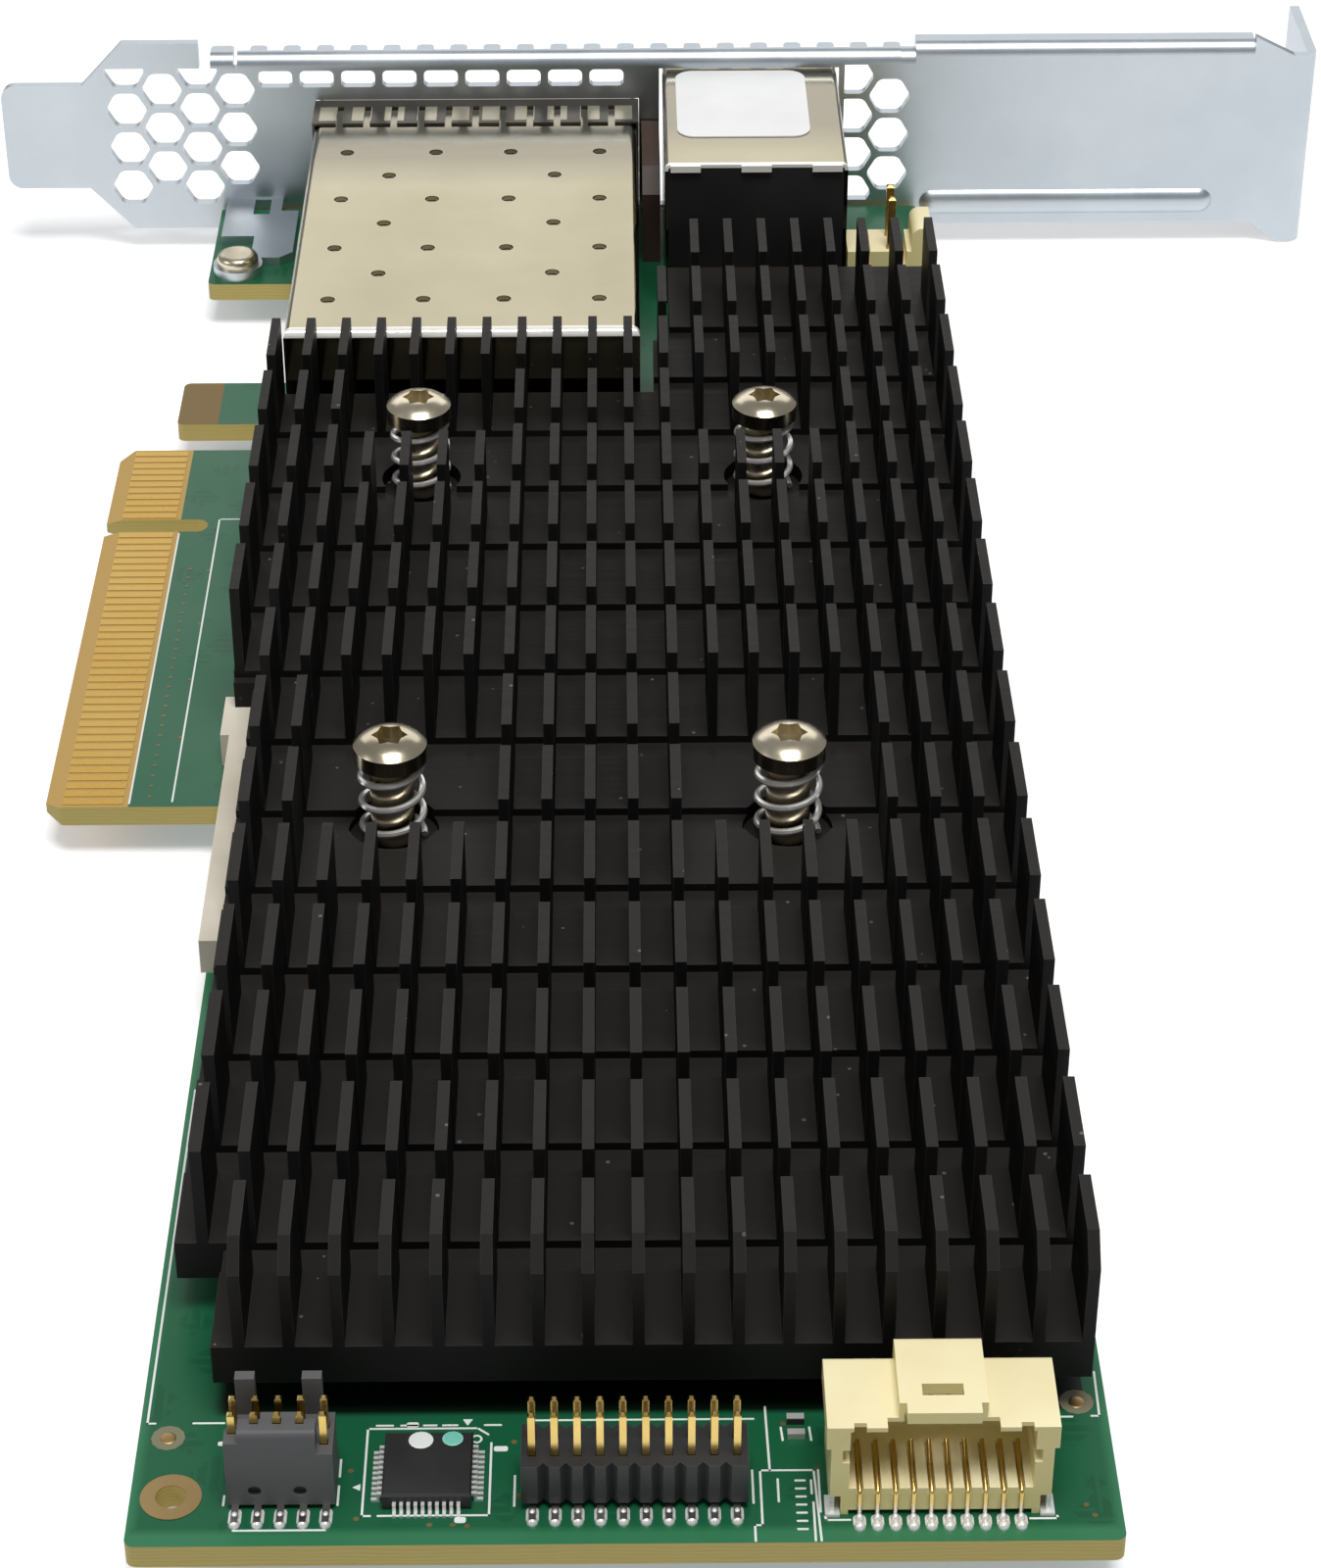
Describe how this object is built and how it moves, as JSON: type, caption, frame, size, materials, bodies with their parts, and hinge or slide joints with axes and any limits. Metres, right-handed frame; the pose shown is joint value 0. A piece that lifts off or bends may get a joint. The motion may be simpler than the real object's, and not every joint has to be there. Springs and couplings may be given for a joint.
{
  "type": "network interface card",
  "caption": "Long server network interface card with a finned black heat sink, twin module cage, copper network jack, edge contacts and a vented end bracket.",
  "frame": {"origin": "centre of the key notch at the tips of the edge contacts, on the board's component face", "axes": "+X from the edge contacts towards the card's top edge, +Y along the card towards the bracket, +Z away from the component side"},
  "size_m": [0.12, 0.1796, 0.0205],
  "materials": {
    "solder_mask_board": "satin",
    "gold_contacts": "polished",
    "black_anodised": "satin",
    "bright_nickel": "polished",
    "cage_nickel": "polished",
    "zinc_bracket": "satin",
    "black_moulding": "satin",
    "cream_moulding": "satin",
    "cream_foam": "matte",
    "grey_thermal_pad": "matte",
    "chip_epoxy": "matte",
    "clear_light_pipe": "gloss",
    "lamp_plastic": "gloss",
    "white_label": "matte"
  },
  "bodies": {
    "root": {"circuit_board": "solder_mask_board", "edge_contacts_component_side": "gold_contacts", "edge_contacts_solder_side": "gold_contacts", "corner_hole_rings": "gold_contacts", "heat_sink": "black_anodised", "heat_sink_screws": "bright_nickel", "heat_sink_springs": "bright_nickel", "heat_sink_nuts": "bright_nickel", "heat_sink_foam_strip": "cream_foam", "main_controller": "chip_epoxy", "main_controller_thermal_pad": "grey_thermal_pad", "phy_chip": "chip_epoxy", "phy_chip_thermal_pad": "grey_thermal_pad", "memory_chips": "chip_epoxy", "power_inductors": "black_moulding", "solder_side_capacitors": "chip_epoxy", "flash_chip": "chip_epoxy", "chip_resistors": "chip_epoxy", "module_cage_cover": "cage_nickel", "module_cage_floor": "cage_nickel", "module_cage_divider": "cage_nickel", "module_cage_gasket": "cage_nickel", "module_socket_left": "black_moulding", "module_socket_right": "black_moulding", "port_light_pipe": "clear_light_pipe", "network_jack_shield": "cage_nickel", "network_jack_housing": "black_moulding", "network_jack_contacts": "gold_contacts", "network_jack_lamps": "lamp_plastic", "network_jack_label": "white_label", "mounting_bracket": "zinc_bracket", "bracket_foot_screw": "bright_nickel", "link_connector_body": "black_moulding", "link_connector_pins": "gold_contacts", "strip_header_body": "black_moulding", "strip_header_pins": "gold_contacts", "wire_socket_body": "cream_moulding", "wire_socket_pins": "gold_contacts", "wire_socket_solder_tabs": "bright_nickel", "small_controller_body": "chip_epoxy", "small_controller_leads": "bright_nickel", "tall_header_body": "cream_moulding", "tall_header_pins": "gold_contacts"}
  },
  "joints": []
}
